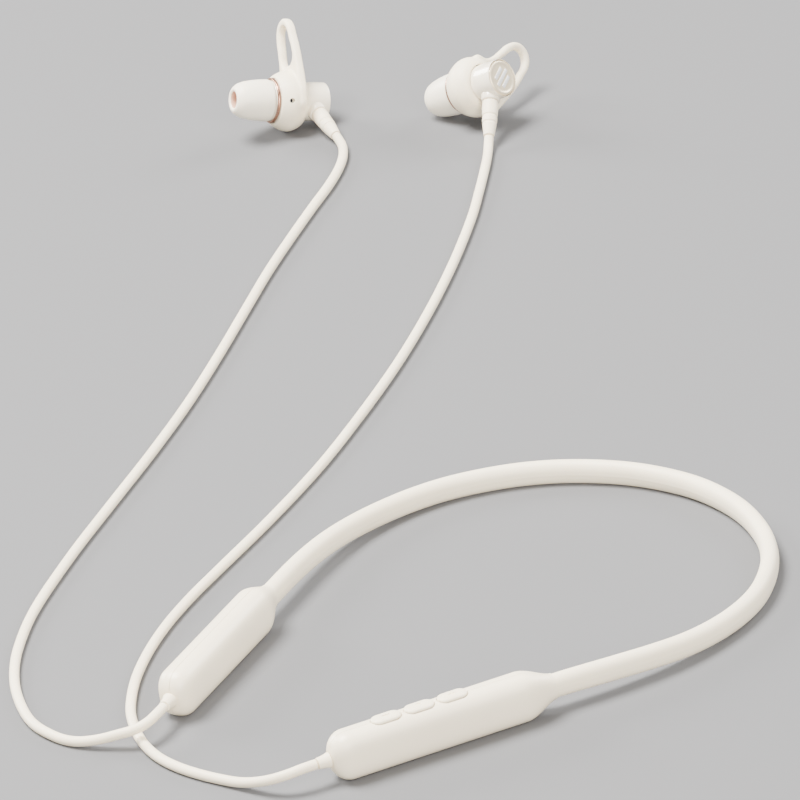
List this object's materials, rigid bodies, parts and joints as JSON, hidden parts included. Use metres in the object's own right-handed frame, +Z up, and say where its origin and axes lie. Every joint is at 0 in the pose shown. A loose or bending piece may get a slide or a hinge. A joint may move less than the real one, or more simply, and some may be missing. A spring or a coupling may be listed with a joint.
{
  "type": "neckband earphones",
  "caption": "Neckband earphones: a flexible horseshoe band with a control pod and a battery pod, and corded in-ear buds with soft tips and ear fins.",
  "frame": {"origin": "centre of the laid-out object's box, on the table it lies on, cords left out", "axes": "+Z up from the table; -Y is the neckband's open end, towards the wearer's front; +X is the wearer's left"},
  "size_m": [0.2936, 0.3008, 0.0244],
  "materials": {
    "silicone": "soft-touch silicone, warm ivory",
    "shell_plastic": "satin moulded ivory plastic",
    "gloss_shell": "polished ivory plastic",
    "disc_metal": "anodised champagne, fine radial brushing",
    "ring_metal": "anodised rose brown",
    "alloy": "drawn nickel-titanium wire",
    "cable_jacket": "matt black jacket",
    "steel": "stamped stainless steel",
    "board": "green solder mask",
    "battery_foil": "foil pouch",
    "driver_body": "black driver frame",
    "light_pipe": "frosted clear"
  },
  "bodies": {
    "main": {"band_sleeve": "silicone", "left_cord_collar": "silicone", "right_cord_collar": "silicone", "left_cord": "silicone", "right_cord": "silicone", "left_fin_sleeve": "silicone", "left_strain_relief": "silicone", "left_pod_outer_shell": "shell_plastic", "left_pod_inner_shell": "shell_plastic", "left_barrel": "gloss_shell", "left_front_housing": "gloss_shell", "left_disc_cap": "disc_metal", "left_accent_ring": "ring_metal", "left_driver": "driver_body", "left_nozzle_mesh": "steel", "right_fin_sleeve": "silicone", "right_strain_relief": "silicone", "right_pod_outer_shell": "shell_plastic", "right_pod_inner_shell": "shell_plastic", "right_barrel": "gloss_shell", "right_front_housing": "gloss_shell", "right_disc_cap": "disc_metal", "right_accent_ring": "ring_metal", "right_driver": "driver_body", "right_nozzle_mesh": "steel", "band_alloy_wire": "alloy", "band_cable": "cable_jacket", "switch_volume_up": "steel", "switch_multifunction": "steel", "switch_volume_down": "steel", "charging_port": "steel", "main_board": "board", "battery_board": "board", "battery": "battery_foil", "led_light_pipe": "light_pipe"},
    "button_volume_up": {"button_volume_up": "silicone"},
    "button_multifunction": {"button_multifunction": "silicone"},
    "button_volume_down": {"button_volume_down": "silicone"},
    "port_flap": {"port_flap": "silicone"},
    "left_ear_tip": {"left_ear_tip": "silicone"},
    "right_ear_tip": {"right_ear_tip": "silicone"}
  },
  "joints": [
    {"name": "volume_up_press", "type": "slide", "parent": "main", "child": "button_volume_up", "axis": [0, 0, -1], "range_m": [0, 0.0004], "stiffness_N_per_m": 1500},
    {"name": "multifunction_press", "type": "slide", "parent": "main", "child": "button_multifunction", "axis": [0, 0, -1], "range_m": [0, 0.0004], "stiffness_N_per_m": 1500},
    {"name": "volume_down_press", "type": "slide", "parent": "main", "child": "button_volume_down", "axis": [0, 0, -1], "range_m": [0, 0.0004], "stiffness_N_per_m": 1500},
    {"name": "port_flap_hinge", "type": "hinge", "parent": "main", "child": "port_flap", "pos_m": [0.12785, -0.09614, 0.0055], "axis": [0, 0, -1], "range_deg": [0, 100]},
    {"name": "left_ear_tip_pull_off", "type": "slide", "parent": "main", "child": "left_ear_tip", "axis": [-0.8948, -0.1804, -0.4083], "range_m": [0, 0.012]},
    {"name": "right_ear_tip_pull_off", "type": "slide", "parent": "main", "child": "right_ear_tip", "axis": [-0.3573, -0.8843, 0.3007], "range_m": [0, 0.012]}
  ]
}
